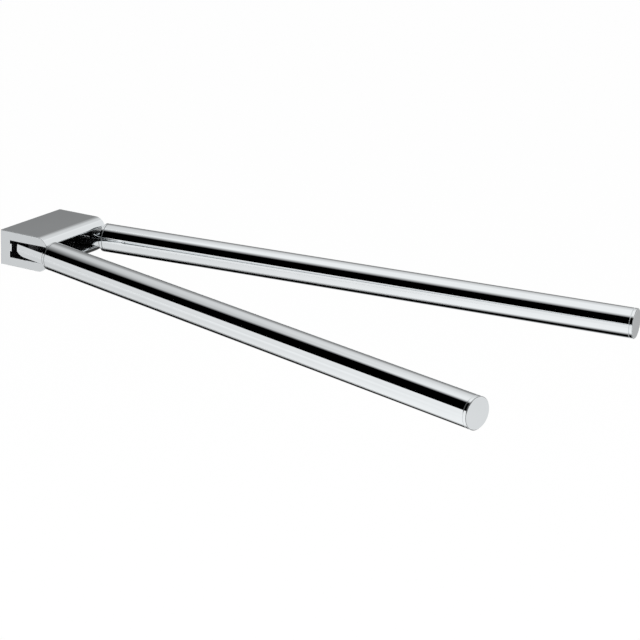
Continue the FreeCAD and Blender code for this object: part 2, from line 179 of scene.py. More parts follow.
class Graph:
    """Node tree that grows through one method."""

    def __init__(self, tree: bpy.types.NodeTree) -> None:
        """Start from a tree with nothing in it."""
        self.tree = tree
        tree.nodes.clear()

    def node(
        self,
        kind: str,
        settings: dict[str, object] | None = None,
        inputs: dict[str | int, Feed] | None = None,
        output: str | int = 0,
    ) -> Socket:
        """Add one node.

        Args:
            kind: The node's type.
            settings: Properties, set before the sockets; "stops" holds a ramp's positions and colours.
            inputs: Values or links of its sockets, by name or number.
            output: The output to hand back.

        Returns:
            The chosen output.
        """
        made = self.tree.nodes.new(kind)
        for name, setting in (settings or {}).items():
            if name == "stops":
                self._set_stops(made.color_ramp, setting)
            else:
                setattr(made, name, setting)
        for key, feed in (inputs or {}).items():
            if isinstance(feed, Socket):
                self.tree.links.new(feed.output, made.inputs[key])
            else:
                made.inputs[key].default_value = feed
        return Socket(self, made.outputs[output] if made.outputs else None)

    @staticmethod
    def _set_stops(ramp: bpy.types.ColorRamp, stops: Sequence[Point]) -> None:
        """Give a ramp its positions and grey levels.

        Args:
            ramp: The ramp.
            stops: Its positions, each with a grey level.
        """
        while len(ramp.elements) < len(stops):
            ramp.elements.new(1.0)
        while len(ramp.elements) > len(stops):
            ramp.elements.remove(ramp.elements[-1])
        for element, (position, level) in zip(ramp.elements, stops):
            element.position = position
            element.color = (level, level, level, 1.0)

    def noise(self, place: Socket, scale: float, detail: float = 3.0, roughness: float = 0.5) -> Socket:
        """Noise from 0 to 1 at a place, with so many grains in a metre."""
        inputs = {"Vector": place, "Scale": scale, "Detail": detail, "Roughness": roughness}
        return self.node("ShaderNodeTexNoise", {"normalize": True}, inputs, "Fac")

    def mapped(self, matrix: Matrix = Matrix.Identity(4), stretch: Triple = (1.0, 1.0, 1.0)) -> Socket:
        """Object coordinates as seen from a place, then stretched along its axes.

        Args:
            matrix: The place.
            stretch: Factors along the place's X, Y and Z.

        Returns:
            Coordinates to draw a pattern with.
        """
        place = self.node("ShaderNodeTexCoord", output="Object")
        turn = {"Location": matrix.translation, "Rotation": matrix.to_euler()}
        local = self.node("ShaderNodeMapping", {"vector_type": "TEXTURE"}, {"Vector": place, **turn})
        return self.node("ShaderNodeMapping", {"vector_type": "POINT"}, {"Vector": local, "Scale": stretch})

    def shade(self, colour: Colour, level: Socket) -> Socket:
        """A colour made lighter or darker by a level."""
        return self.node("ShaderNodeVectorMath", {"operation": "SCALE"}, {0: colour, "Scale": level})

    def mix(self, first: Colour, second: Colour, factor: Socket) -> Socket:
        """A colour between two, by a factor."""
        feeds = {"Factor": factor, 6: (*first, 1.0), 7: (*second, 1.0)}
        return self.node("ShaderNodeMix", {"data_type": "RGBA"}, feeds, 2)

    def bump(self, height: Socket, depth: float, strength: float = 1.0) -> Socket:
        """Normal of a surface whose relief is that deep."""
        feeds = {"Height": height, "Distance": depth, "Strength": strength}
        return self.node("ShaderNodeBump", None, feeds, "Normal")


@dataclass(frozen=True)
class Finish:
    """A surface finish: its colour and how it shines, with detail added by its kind."""

    name: str
    colour: Colour
    roughness: float
    metallic: float = 1.0
    place: Matrix = Matrix.Identity(4)

    def surface(self, graph: Graph) -> dict[str, Feed]:
        """Sockets of the shader that vary over the surface."""
        raise NotImplementedError

    def material(self) -> bpy.types.Material:
        """The material of this finish, made once.

        Returns:
            The material, with one shader.
        """
        found = bpy.data.materials.get(self.name)
        if found:
            return found
        material = bpy.data.materials.new(self.name)
        material.use_nodes = True
        graph = Graph(material.node_tree)
        feeds = {"Metallic": self.metallic, **self.surface(graph)}
        shader = graph.node("ShaderNodeBsdfPrincipled", None, feeds)
        graph.node("ShaderNodeOutputMaterial", None, {"Surface": shader})
        return material


@dataclass(frozen=True)
class Chrome(Finish):
    """Polished chromium plate with faint smears and hairlines along the piece, and painted shade at its
    seams.

    Seams are stations along the piece, outward from its place, each with how dark its painted shade is.
    """

    seams: tuple[Point, ...] = ()
    # Painted shade: each seam's dark line has this width, darkens the colour by this share and roughens the
    # plate.
    seam_width: float = 0.3 * MM
    seam_shade: float = 0.65
    seam_roughness: float = 0.4
    smear_scale: float = 45.0
    smear_shade: float = 0.08
    smear_roughness: float = 0.03
    hairlines: Triple = (2600.0, 60.0, 2600.0)
    hairline_shade: float = 0.02
    hairline_roughness: float = 0.012
    hairline_depth: float = 2e-7

    def seam_shade_line(self, station: Socket, seam: float) -> Socket:
        """1 within a seam's width at a station, else 0."""
        return (station - seam).math("ABSOLUTE").math("LESS_THAN", self.seam_width / 2)

    def surface(self, graph: Graph) -> dict[str, Feed]:
        """Smears dull the plate a little, hairlines break up its highlights, and painted shade darkens its
        seams.

        Args:
            graph: Tree of the material.

        Returns:
            Feeds of the shader's sockets, by their names.
        """
        place = graph.mapped(self.place)
        station = 0 - graph.node("ShaderNodeSeparateXYZ", None, {"Vector": place}, "Y")
        # Painted shade: a dark line at each seam, as deep as its darkness.
        painted_shade = sum(self.seam_shade_line(station, seam) * darkness for seam, darkness in self.seams)
        smear = graph.noise(place, self.smear_scale, detail=4.0, roughness=0.6) ** 3
        grain = graph.noise(graph.mapped(self.place, self.hairlines), scale=1.0, detail=2.0)
        shade = smear * self.smear_shade + grain * self.hairline_shade + painted_shade * self.seam_shade
        haze = smear * self.smear_roughness + grain * self.hairline_roughness + painted_shade * self.seam_roughness
        return {
            "Base Color": graph.shade(self.colour, 1 - shade),
            "Roughness": haze + self.roughness,
            "Normal": graph.bump(grain, self.hairline_depth),
        }


@dataclass(frozen=True)
class ShadeCoat(Finish):
    """Near-black coat that paints the shade inside a recess, with a fine relief like orange peel."""

    peel_scale: float = 1400.0
    peel_depth: float = 1.5e-6
    peel_strength: float = 0.4
    patch_grains: float = 12.0
    patch_shade: float = 0.8
    patch_roughness: float = 0.2
    patch_base: float = 0.6
    sheen: float = 0.2

    def surface(self, graph: Graph) -> dict[str, Feed]:
        """Orange peel in the relief, and patches that are a little lighter and rougher.

        Args:
            graph: Tree of the material.

        Returns:
            Feeds of the shader's sockets, by their names.
        """
        place = graph.mapped()
        peel = graph.noise(place, self.peel_scale, detail=2.0)
        patchiness = graph.noise(place, self.peel_scale / self.patch_grains)
        return {
            "Base Color": graph.shade(self.colour, patchiness * self.patch_shade + self.patch_base),
            "Roughness": patchiness * self.patch_roughness + self.roughness,
            "Specular IOR Level": self.sheen,
            "Normal": graph.bump(peel, self.peel_depth, self.peel_strength),
        }


@dataclass(frozen=True)
class Turned(Finish):
    """Turned metal or plastic: fine rings that follow the tool, and duller stains."""

    feed: float = 0.09 * MM
    ring_depth: float = 4e-6
    ring_strength: float = 0.5
    ring_roughness: float = 0.1
    wander_scale: float = 900.0
    wander_share: float = 0.6
    stain: Colour = (0.2, 0.2, 0.2)
    stain_scale: float = 240.0
    stain_share: float = 1.6
    stain_roughness: float = 0.15

    def surface(self, graph: Graph) -> dict[str, Feed]:
        """Tool rings run by the station along the piece and by the distance from its axis.

        Args:
            graph: Tree of the material.

        Returns:
            Feeds of the shader's sockets, by their names.
        """
        place = graph.mapped(self.place)
        parts = graph.node("ShaderNodeSeparateXYZ", None, {"Vector": place}, "X")
        radius = (parts * parts + parts.out("Y") * parts.out("Y")) ** 0.5
        wander = graph.noise(place, self.wander_scale, detail=2.0)
        rings = ((radius + parts.out("Z")) / self.feed + wander * self.wander_share).ridge()
        dull = graph.noise(place, self.stain_scale, detail=4.0, roughness=0.65)
        return {
            "Base Color": graph.mix(self.colour, self.stain, dull ** 4 * self.stain_share),
            "Roughness": rings * self.ring_roughness + dull * self.stain_roughness + self.roughness,
            "Normal": graph.bump(rings, self.ring_depth, self.ring_strength),
        }


@dataclass(frozen=True)
class Zinc(Finish):
    """Zinc plating on sheet steel, with its patchy passivated sheen."""

    flake_scale: float = 420.0
    flake_share: float = 0.2
    flake_roughness: float = 0.12
    flake_relief: float = 0.4
    rolling: Triple = (60.0, 3000.0, 3000.0)
    rolling_roughness: float = 0.1
    relief: float = 4e-6
    relief_strength: float = 0.5
    tint: Colour = (0.62, 0.6, 0.5)
    cloud_scale: float = 70.0
    cloud_share: float = 0.8
    cloud_roughness: float = 0.16

    def surface(self, graph: Graph) -> dict[str, Feed]:
        """Flakes of slightly different brightness under a yellowish cloud, and rolling lines.

        Args:
            graph: Tree of the material.

        Returns:
            Feeds of the shader's sockets, by their names.
        """
        place = graph.mapped()
        cells = {"Vector": place, "Scale": self.flake_scale}
        flakes = graph.node("ShaderNodeTexVoronoi", None, cells, "Color")
        level = graph.node("ShaderNodeSeparateColor", None, {"Color": flakes}, 0)
        cloud = graph.noise(place, self.cloud_scale, detail=4.0)
        rolled = graph.noise(graph.mapped(stretch=self.rolling), scale=1.0, detail=2.0)
        tinted = cloud * self.cloud_share + level * self.flake_share
        haze = level * self.flake_roughness + cloud * self.cloud_roughness + rolled * self.rolling_roughness
        return {
            "Base Color": graph.mix(self.colour, self.tint, tinted),
            "Roughness": haze + self.roughness,
            "Normal": graph.bump(rolled + level * self.flake_relief, self.relief, self.relief_strength),
        }


@dataclass(frozen=True)
class Moulded(Finish):
    """Moulded plastic or rubber: fine grain, cloudy colour and a dry bloom."""

    grain_scale: float = 2600.0
    grain_depth: float = 1.2e-5
    grain_strength: float = 0.5
    grain_roughness: float = 0.08
    bloom: Colour = (0.5, 0.5, 0.5)
    bloom_scale: float = 300.0
    bloom_share: float = 0.3
    bloom_roughness: float = 0.2

    def surface(self, graph: Graph) -> dict[str, Feed]:
        """Grain in the relief, and a bloom that lies in clouds.

        Args:
            graph: Tree of the material.

        Returns:
            Feeds of the shader's sockets, by their names.
        """
        place = graph.mapped(self.place)
        grain = graph.noise(place, self.grain_scale, detail=2.0)
        cloud = graph.noise(place, self.bloom_scale, detail=4.0, roughness=0.6)
        return {
            "Base Color": graph.mix(self.colour, self.bloom, cloud * cloud * self.bloom_share),
            "Roughness": cloud * self.bloom_roughness + grain * self.grain_roughness + self.roughness,
            "Normal": graph.bump(grain, self.grain_depth, self.grain_strength),
        }


class Outline:
    """Half section of a turned piece: corners of radius and station, with their shares of thread or knurl."""

    def __init__(self) -> None:
        """Start with no corner."""
        self.corners: list[Point] = []
        self.marks: dict[str, list[float]] = {"thread": [], "knurl": []}

    def to(self, radius: float, station: float, thread: float = 0.0, knurl: float = 0.0) -> "Outline":
        """Go on to a corner.

        Args:
            radius: Distance of the corner from the axis.
            station: Its place along the axis.
            thread: How much of the thread is cut there, from 0 to 1.
            knurl: How much of the knurl is cut there, from 0 to 1.

        Returns:
            This outline.
        """
        self.corners.append((radius, station))
        self.marks["thread"].append(thread)
        self.marks["knurl"].append(knurl)
        return self

    def run(self, radius: float, start: float, end: float, steps: int, **marks: float) -> "Outline":
        """Go along the piece at one radius in equal steps, marked for thread or knurl between its ends.

        Args:
            radius: Distance from the axis.
            start: Station of the first corner.
            end: Station of the last one.
            steps: Number of steps.
            marks: Shares of thread or knurl between the ends.

        Returns:
            This outline.
        """
        for step in range(steps + 1):
            inner = marks if 0 < step < steps else {}
            self.to(radius, start + (end - start) * step / steps, **inner)
        return self

    def arc(self, centre: Point, radius: float, start: float, end: float, steps: int) -> "Outline":
        """Go round a centre between two angles in degrees, measured from the radius towards the station.

        Args:
            centre: Radius and station of the arc's centre.
            radius: The arc's own radius.
            start: Angle of the first corner.
            end: Angle of the last one.
            steps: Number of steps.

        Returns:
            This outline.
        """
        for step in range(steps + 1):
            angle = math.radians(start + (end - start) * step / steps)
            self.to(centre[0] + radius * math.cos(angle), centre[1] + radius * math.sin(angle))
        return self

    def mesh(self, name: str) -> bpy.types.Mesh:
        """The outline as a ring of edges whose points carry the marks.

        Args:
            name: Name of the mesh.

        Returns:
            A mesh of points and edges.
        """
        mesh = bpy.data.meshes.new(name)
        count = len(self.corners)
        rim = [(index, (index + 1) % count) for index in range(count)]
        mesh.from_pydata([(radius, 0.0, station) for radius, station in self.corners], rim, [])
        for mark, shares in self.marks.items():
            mesh.attributes.new(mark, "FLOAT", "POINT").data.foreach_set("value", shares)
        return mesh


@dataclass
class Lathe:
    """Turns outlines into closed meshes with one node tree: rings of corners round the upright axis."""

    segments: int = 192
    name: str = "turned_piece"

    def tree(self) -> bpy.types.NodeTree:
        """The node tree, made once: a grid rolled up round the axis, with thread and knurl cut into it.

        Returns:
            The tree, whose inputs are the sizes of a turned piece.
        """
        found = bpy.data.node_groups.get(self.name)
        if found:
            return found
        tree = bpy.data.node_groups.new(self.name, "GeometryNodeTree")
        sockets = {
            "Outline": "Geometry",
            "Segments": "Int",
            "Thread Pitch": "Float",
            "Thread Depth": "Float",
            "Knurl Teeth": "Int",
            "Knurl Depth": "Float",
            "Crease": "Float",
            "Finish": "Material",
        }
        for label, kind in sockets.items():
            tree.interface.new_socket(label, in_out="INPUT", socket_type=f"NodeSocket{kind}")
        tree.interface.new_socket("Mesh", in_out="OUTPUT", socket_type="NodeSocketGeometry")
        graph = Graph(tree)
        given = graph.node("NodeGroupInput")
        outline = given.out("Outline")
        corners = graph.node("GeometryNodeAttributeDomainSize", {"component": "MESH"}, {"Geometry": outline})
        grid = graph.node("GeometryNodeMeshGrid", None, {
            "Size X": 1.0,
            "Size Y": 1.0,
            "Vertices X": corners + 1,
            "Vertices Y": given.out("Segments") + 1,
        })
        place = graph.node("GeometryNodeInputPosition")
        parts = graph.node("ShaderNodeSeparateXYZ", None, {"Vector": place})
        index = ((parts + 0.5) * corners).math("ROUND") % corners
        turn = parts.out("Y") + 0.5

        def sampled(value: Socket, kind: str) -> Socket:
            """A value of the outline at the grid point's corner."""
            feeds = {"Geometry": outline, "Value": value, "Index": index}
            return graph.node("GeometryNodeSampleIndex", {"data_type": kind, "domain": "POINT"}, feeds)

        def mark(label: str) -> Socket:
            """A mark of the outline at the grid point's corner."""
            named = graph.node("GeometryNodeInputNamedAttribute", {"data_type": "FLOAT"}, {"Name": label})
            return sampled(named, "FLOAT")

        corner = graph.node("ShaderNodeSeparateXYZ", None, {"Vector": sampled(place, "FLOAT_VECTOR")})
        station = corner.out("Z")
        groove = (station / given.out("Thread Pitch") - turn).ridge() * given.out("Thread Depth")
        tooth = (turn * given.out("Knurl Teeth")).ridge() * given.out("Knurl Depth")
        radius = corner - groove * mark("thread") - tooth * mark("knurl")
        angle = turn * math.tau
        rolled = graph.node("ShaderNodeCombineXYZ", None, {
            "X": radius * angle.math("COSINE"),
            "Y": radius * angle.math("SINE"),
            "Z": station,
        })
        moved = graph.node("GeometryNodeSetPosition", None, {"Geometry": grid, "Position": rolled})
        welded = graph.node("GeometryNodeMergeByDistance", None, {"Geometry": moved, "Distance": WELD})
        edge = graph.node("GeometryNodeInputMeshEdgeAngle", None, None, "Unsigned Angle")
        smooth = graph.node("GeometryNodeSetShadeSmooth", {"domain": "FACE"}, {
            0: welded,
            "Shade Smooth": True,
        })
        creased = graph.node("GeometryNodeSetShadeSmooth", {"domain": "EDGE"}, {
            0: smooth,
            "Selection": edge.math("GREATER_THAN", given.out("Crease")),
            "Shade Smooth": False,
        })
        real = graph.node("GeometryNodeRealizeInstances", None, {0: creased})
        dressed = graph.node("GeometryNodeSetMaterial", None, {0: real, "Material": given.out("Finish")})
        graph.node("NodeGroupOutput", None, {"Mesh": dressed})
        return tree

    def turn(
        self,
        name: str,
        outline: Outline,
        finish: Finish,
        place: Matrix,
        **sizes: float,
    ) -> bpy.types.Object:
        """Turn one piece.

        Args:
            name: Name of the piece.
            outline: Its half section.
            finish: Its finish.
            place: Where the upright piece goes.
            sizes: Other inputs of the tree by their names, with _ for a space.

        Returns:
            The piece as a plain closed mesh, with its place in the mesh.
        """
        piece = new_object(name, outline.mesh(name))
        modifier = piece.modifiers.new("turning", "NODES")
        modifier.node_group = self.tree()
        values = {"Segments": self.segments, "Crease": CREASE, "Finish": finish.material()}
        values.update({label.replace("_", " "): size for label, size in sizes.items()})
        for item in modifier.node_group.interface.items_tree:
            if item.name in values:
                modifier[item.identifier] = values[item.name]
        bake(piece)
        piece.data.transform(place)
        face_outwards(piece)
        return piece


def new_object(name: str, mesh: bpy.types.Mesh) -> bpy.types.Object:
    """Put a mesh into the scene at the origin.

    Args:
        name: Name of the object.
        mesh: Its mesh.

    Returns:
        The object.
    """
    made = bpy.data.objects.new(name, mesh)
    bpy.context.scene.collection.objects.link(made)
    return made


def bake(piece: bpy.types.Object) -> None:
    """Turn a piece's modifiers into a plain mesh.

    Args:
        piece: The piece, changed in place.
    """
    bpy.context.view_layer.update()
    depsgraph = bpy.context.evaluated_depsgraph_get()
    made = bpy.data.meshes.new_from_object(piece.evaluated_get(depsgraph), depsgraph=depsgraph)
    piece.modifiers.clear()
    raw = piece.data
    piece.data = made
    bpy.data.meshes.remove(raw)
    made.name = piece.name


def face_outwards(piece: bpy.types.Object) -> None:
    """Weld a piece's doubles and point its faces outwards.

    Args:
        piece: The piece, changed in place.
    """
    work = bmesh.new()
    work.from_mesh(piece.data)
    bmesh.ops.remove_doubles(work, verts=work.verts, dist=WELD)
    bmesh.ops.recalc_face_normals(work, faces=work.faces)
    work.to_mesh(piece.data)
    work.free()


def prism(name: str, section: Sequence[Point], low: float, high: float) -> bpy.types.Object:
    """Upright prism between two heights over a plan of X and Y.

    Args:
        name: Name of the prism.
        section: Corners of the plan.
        low: Height of its foot.
        high: Height of its top.

    Returns:
        The prism.
    """
    work = bmesh.new()
    floor = work.faces.new([work.verts.new((x, y, low)) for x, y in section])
    lifted = bmesh.ops.extrude_face_region(work, geom=[floor])["geom"]
    top = [vertex for vertex in lifted if isinstance(vertex, bmesh.types.BMVert)]
    bmesh.ops.translate(work, verts=top, vec=(0.0, 0.0, high - low))
    bmesh.ops.recalc_face_normals(work, faces=work.faces)
    mesh = bpy.data.meshes.new(name)
    work.to_mesh(mesh)
    work.free()
    return new_object(name, mesh)


def window(left: float, right: float, low: float, high: float) -> list[Point]:
    """Corners of a rectangle."""
    return [(left, low), (left, high), (right, high), (right, low)]


def hexagon(across_flats: float) -> list[Point]:
    """Plan of a hexagon socket.

    Args:
        across_flats: Width between opposite sides.

    Returns:
        Its corners.
    """
    reach = across_flats / math.sqrt(3)
    corners = [math.radians(60 * turn) for turn in range(6)]
    return [(reach * math.cos(angle), reach * math.sin(angle)) for angle in corners]


def combine(piece: bpy.types.Object, tools: Iterable[bpy.types.Object], operation: str) -> None:
    """Cut tools from a piece, join them to it or keep what they share, and drop the tools.

    Args:
        piece: The piece, changed in place.
        tools: The tools, which are removed.
        operation: DIFFERENCE, UNION or INTERSECT.
    """
    tools = list(tools)
    for tool in tools:
        modifier = piece.modifiers.new(operation.lower(), "BOOLEAN")
        modifier.operation = operation
        modifier.solver = "EXACT"
        modifier.object = tool
    bake(piece)
    for tool in tools:
        mesh = tool.data
        bpy.data.objects.remove(tool)
        bpy.data.meshes.remove(mesh)


def smooth_flats(piece: bpy.types.Object) -> None:
    """Shade a machined piece smooth between creases, its flats staying truly flat.

    Args:
        piece: The piece, changed in place.
    """
    piece.data.shade_smooth()
    piece.data.set_sharp_from_angle(angle=CREASE)
    modifier = piece.modifiers.new("flats", "WEIGHTED_NORMAL")
    modifier.keep_sharp = True
    modifier.weight = 100
    bake(piece)


def dress(piece: bpy.types.Object, *finishes: Finish) -> None:
    """Give a piece its finishes in the order of its material slots.

    Args:
        piece: The piece.
        finishes: Its finishes.
    """
    piece.data.materials.clear()
    for finish in finishes:
        piece.data.materials.append(finish.material())


def hand_over(piece: bpy.types.Object, body: str, slot: Slot, *nodes: str) -> None:
    """Let a finished piece ride on a body in place of its solids.

    Args:
        piece: The finished piece.
        body: The body that it rides on.
        slot: Its material slot, not used.
        nodes: The solids that it replaces.
    """
    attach(piece, body)
    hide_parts(*nodes)
    LOG.info("%s: %d faces on %s", piece.name, len(piece.data.polygons), body)


LATHE = Lathe()
CHROME_COLOUR: Colour = (0.835, 0.864, 0.88)
CHROME_ROUGHNESS = 0.02
ALONG_WALL = Matrix.Rotation(math.pi / 2, 4, "Z")
BRACKET_CHROME = Chrome("bracket_chrome", CHROME_COLOUR, CHROME_ROUGHNESS, place=ALONG_WALL)
# Painted shade: the channel's inside is coloured near-black to stand in for the shade in its recess.
CHANNEL_SHADE = ShadeCoat("channel_painted_shade", (0.008, 0.008, 0.009), roughness=0.5, metallic=0.0)
PLATE_ZINC = Zinc("plate_zinc", (0.66, 0.66, 0.65), roughness=0.28)


@dataclass
class Bracket:
    """Chromed channel that stands on the wall, with its hidden plate and grub screws."""

    body: str = "bracket"
    half_width: float = 36.0 * MM
    half_height: float = 12.75 * MM
    depth: float = 41.3 * MM
    half_slot: float = 6.2 * MM
    back_wall: float = 8.2 * MM
    lip_radius: float = 8.3 * MM
    nose_radius: float = 1.0 * MM
    end_edge: float = 0.4 * MM
    rib_depth: float = 1.5 * MM
    rib_low: float = -1.9 * MM
    rib_high: float = 3.9 * MM
    recess_half_width: float = 30.0 * MM
    recess_half_height: float = 9.0 * MM
    recess_depth: float = 5.2 * MM
    pin_bore: float = 4.03 * MM
    pin_seat_top: float = 10.3 * MM
    head_bore: float = 5.7 * MM
    head_depth: float = 3.2 * MM
    spring_seat: float = 6.75 * MM
    spring_depth: float = 1.3 * MM
    screw_x: float = 24.8 * MM
    screw_y: float = -2.5 * MM
    screw_radius: float = 2.0 * MM
    screw_fit: float = 0.03 * MM
    screw_sink: float = 0.3 * MM
    screw_length: float = 3.65 * MM
    screw_socket: float = 2.0 * MM
    screw_pitch: float = 0.7 * MM
    screw_thread: float = 0.38 * MM
    screw_edge: float = 0.25 * MM
    screw_steps: int = 42
    screw_segments: int = 48
    lip_steps: int = 28
    nose_steps: int = 12
    edge_steps: int = 5

    def lip(self, inset: float) -> list[Point]:
        """Upper lip's section from the top to the slot, as Y and Z.

        Args:
            inset: How far the section is drawn in from the full one.

        Returns:
            Points of the lip's round front and of its nose.
        """
        centre_y = self.lip_radius - self.depth
        centre_z = self.half_height - self.lip_radius
        nose_z = self.half_slot + self.nose_radius
        reach = self.lip_radius - self.nose_radius
        nose_y = centre_y - math.sqrt(reach ** 2 - (nose_z - centre_z) ** 2)
        turn = math.atan2(nose_z - centre_z, nose_y - centre_y)
        points: list[Point] = []
        arcs = (
            (centre_y, centre_z, self.lip_radius - inset, math.pi / 2, turn, self.lip_steps),
            (nose_y, nose_z, self.nose_radius - inset, turn, 3 * math.pi / 2, self.nose_steps),
        )
        for y, z, radius, start, end, steps in arcs:
            for step in range(1 if points else 0, steps + 1):
                angle = start + (end - start) * step / steps
                points.append((y + radius * math.cos(angle), z + radius * math.sin(angle)))
        return points

    def section(self, inset: float) -> list[Point]:
        """The channel's section as Y and Z, drawn in by an inset.

        Args:
            inset: How far the section is drawn in from the full one.

        Returns:
            Points from the top of the wall face, round the slot, to its foot.
        """
        top = [(-inset, self.half_height - inset)] + self.lip(inset)
        wall = inset - self.back_wall
        rib = wall - self.rib_depth
        middle = [
            (wall, self.half_slot + inset),
            (wall, self.rib_high - inset),
            (rib, self.rib_high - inset),
            (rib, self.rib_low + inset),
            (wall, self.rib_low + inset),
            (wall, -self.half_slot - inset),
        ]
        return top + middle + [(y, -z) for y, z in reversed(top)]

    def stations(self) -> list[Point]:
        """Places along X of the sections, each with its inset: the end edges are rounded.

        Returns:
            X and inset of each section.
        """
        ends = []
        for step in range(self.edge_steps + 1):
            angle = math.pi / 2 * step / self.edge_steps
            x = self.half_width - self.end_edge * (1 - math.cos(angle))
            ends.append((x, self.end_edge * (1 - math.sin(angle))))
        return [(-x, inset) for x, inset in ends] + [(x, inset) for x, inset in reversed(ends)]

    def pin_hole(self, side: Side) -> bpy.types.Object:
        """Tool that bores one pin's head, passage, spring seat and blind seat.

        Args:
            side: The arm whose pin it is.

        Returns:
            The tool, in its place.
        """
        low = -self.half_height - SPARE
        shoulder = self.head_depth - self.half_height
        seat = -self.half_slot - self.spring_depth
        slot = SPARE - self.half_slot
        outline = Outline().to(0.0, low).to(self.head_bore, low)
        outline.to(self.head_bore, shoulder).to(self.pin_bore, shoulder).to(self.pin_bore, seat)
        outline.to(self.spring_seat, seat).to(self.spring_seat, slot).to(self.pin_bore, slot)
        outline.to(self.pin_bore, self.pin_seat_top).to(0.0, self.pin_seat_top)
        return LATHE.turn(f"{side.value}_pin_hole", outline, BRACKET_CHROME, side.pivot())

    def screw_place(self, sign: int) -> Matrix:
        """Place of the grub screw on one side."""
        return Matrix.Translation((sign * self.screw_x, self.screw_y, 0.0))

    def screw_hole(self, sign: int) -> bpy.types.Object:
        """Tool that bores one grub screw's hole.

        Args:
            sign: Side of the screw along X.

        Returns:
            The tool, in its place.
        """
        low = -self.half_height - SPARE
        high = -self.recess_half_height + SPARE / 2
        radius = self.screw_radius + self.screw_fit
        outline = Outline().to(0.0, low).to(radius, low).to(radius, high).to(0.0, high)
        return LATHE.turn(f"screw_hole_{sign}", outline, BRACKET_CHROME, self.screw_place(sign))

    def recess(self) -> bpy.types.Object:
        """Tool that cuts the wall plate's recess."""
        x, z = self.recess_half_width, self.recess_half_height
        return prism("plate_recess", window(-x, x, -self.recess_depth, SPARE), -z, z)

    def build_channel(self) -> bpy.types.Object:
        """Channel drawn out along X through its sections, then bored, with painted shade inside.

        Returns:
            The dressed channel.
        """
        work = bmesh.new()
        rings = []
        for x, inset in self.stations():
            rings.append([work.verts.new((x, y, z)) for y, z in self.section(inset)])
        for ring, following in zip(rings, rings[1:]):
            for index, vertex in enumerate(ring):
                back = index - 1
                work.faces.new((ring[back], vertex, following[index], following[back]))
        work.faces.new(rings[0])
        work.faces.new(rings[-1])
        bmesh.ops.recalc_face_normals(work, faces=work.faces)
        mesh = bpy.data.meshes.new("bracket_channel")
        work.to_mesh(mesh)
        work.free()
        piece = new_object("bracket_channel", mesh)
        tools = [self.recess(), self.screw_hole(-1), self.screw_hole(1)]
        combine(piece, tools + [self.pin_hole(side) for side in Side], "DIFFERENCE")
        smooth_flats(piece)
        dress(piece, BRACKET_CHROME, CHANNEL_SHADE)
        # Faces inside the channel take the painted shade.
        for face in piece.data.polygons:
            face.material_index = int(self.is_inside(face.center))
        return piece

    def is_inside(self, point: Vector) -> bool:
        """Whether a face's middle lies in the channel, behind the lips.

        Args:
            point: The face's middle.

        Returns:
            True inside the channel.
        """
        deep = self.nose_radius - self.depth < point.y < -self.back_wall + WELD
        within = abs(point.x) < self.half_width - self.end_edge
        return deep and within and abs(point.z) < self.half_slot + WELD

    def build_screws(self) -> bpy.types.Object:
        """The pair of grub screws.

        Returns:
            Both screws as one dressed piece.
        """
        finish = Turned("screw_black_oxide", (0.035, 0.035, 0.038), roughness=0.38, metallic=0.9,
                        stain=(0.09, 0.07, 0.06))
        foot = self.screw_sink - self.half_height
        top = foot + self.screw_length
        edge = self.screw_edge
        outline = Outline().to(0.0, foot).to(self.screw_radius - edge, foot)
        outline.run(self.screw_radius, foot + edge, top - edge, self.screw_steps, thread=1.0)
        outline.to(self.screw_radius - edge, top).to(0.0, top)
        screws = []
        for sign in (-1, 1):
            place = self.screw_place(sign)
            screw = LATHE.turn(f"grub_screw_{sign}", outline, finish, place, Segments=self.screw_segments,
                               Thread_Pitch=self.screw_pitch, Thread_Depth=self.screw_thread)
            socket = prism("grub_socket", hexagon(self.screw_socket), foot - edge, foot + self.screw_socket)
            socket.data.transform(place)
            combine(screw, [socket], "DIFFERENCE")
            screws.append(screw)
        combine(screws[0], screws[1:], "UNION")
        screws[0].name = "grub_screws"
        dress(screws[0], finish)
        return screws[0]

    def build(self) -> None:
        """Make and dress the bracket's own pieces."""
        hand_over(self.build_channel(), self.body, Slot.CHROME, "bracket_body")
        hand_over(self.build_screws(), self.body, Slot.SCREW, "clamp_screws")
        dress(frame["nodes"]["wall_plate"], PLATE_ZINC)
        LOG.info("wall_plate: dressed")


